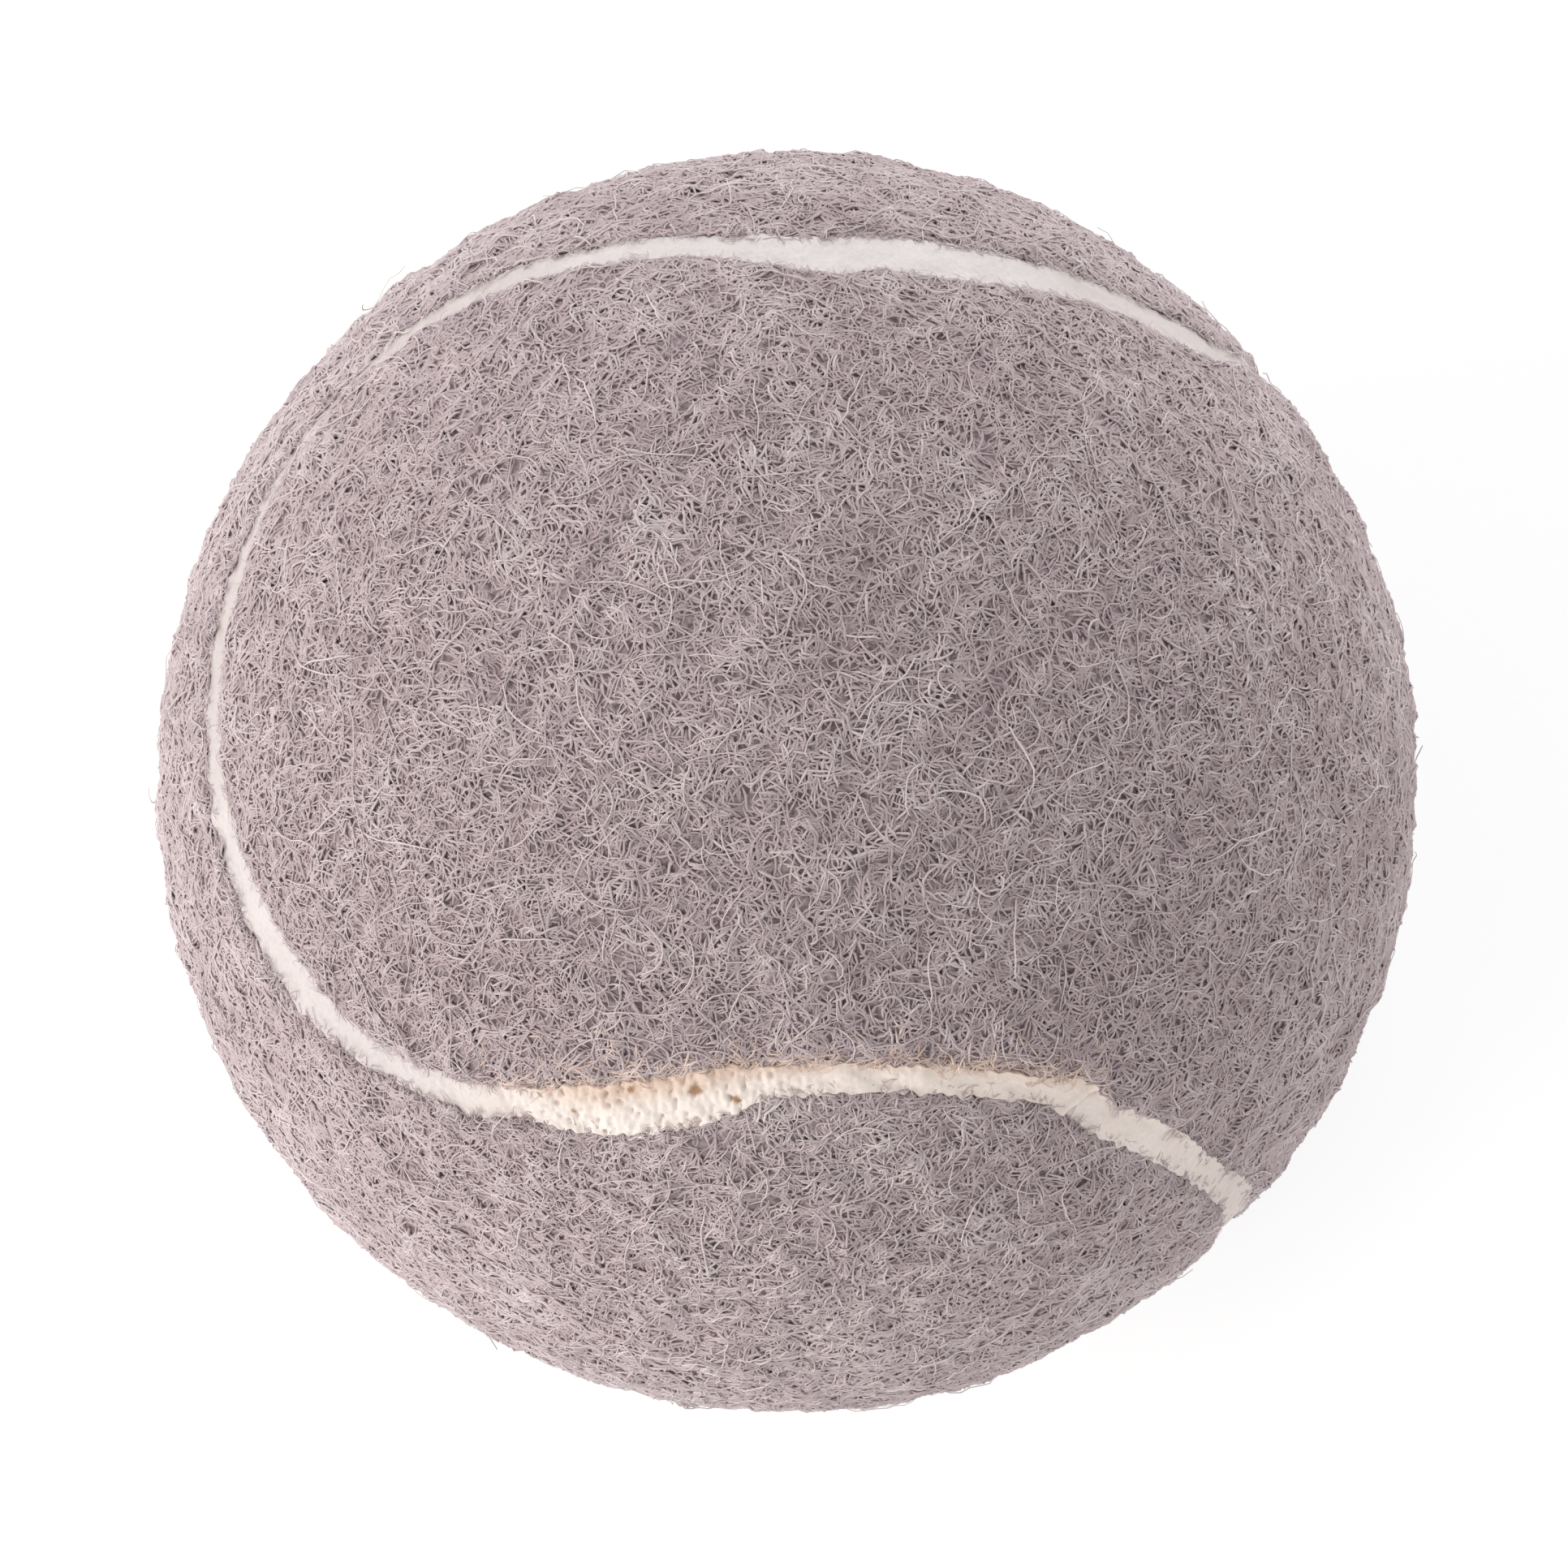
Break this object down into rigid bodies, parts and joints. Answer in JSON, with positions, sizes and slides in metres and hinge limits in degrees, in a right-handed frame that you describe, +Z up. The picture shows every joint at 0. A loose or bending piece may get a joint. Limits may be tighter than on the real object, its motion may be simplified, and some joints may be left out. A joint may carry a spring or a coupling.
{
  "type": "tennis ball",
  "caption": "Hollow rubber-cored ball covered by dog-bone felt panels in grey, with a continuous pale rubber seam set slightly below the nap.",
  "frame": {"origin": "centre of the ball", "axes": "+X through the middle of the front felt panel, -X through the middle of the back one, +Z up through the upper lobe of the front panel, Y through the lobes of the back panel"},
  "size_m": [0.067, 0.067, 0.067],
  "materials": {
    "felt": "needled woollen felt, grey, with a raised nap of curled fibres",
    "seam": "off-white vulcanised seam rubber, matt, slightly uneven",
    "core": "dark moulded rubber, matt",
    "cement": "tan rubber cement"
  },
  "bodies": {
    "root": {"core_half_upper": "core", "core_half_lower": "core", "core_joint_cement": "cement", "panel_cement_front": "cement", "panel_cement_back": "cement", "felt_panel_front": "felt", "felt_panel_back": "felt", "seam_rubber": "seam"}
  },
  "joints": []
}
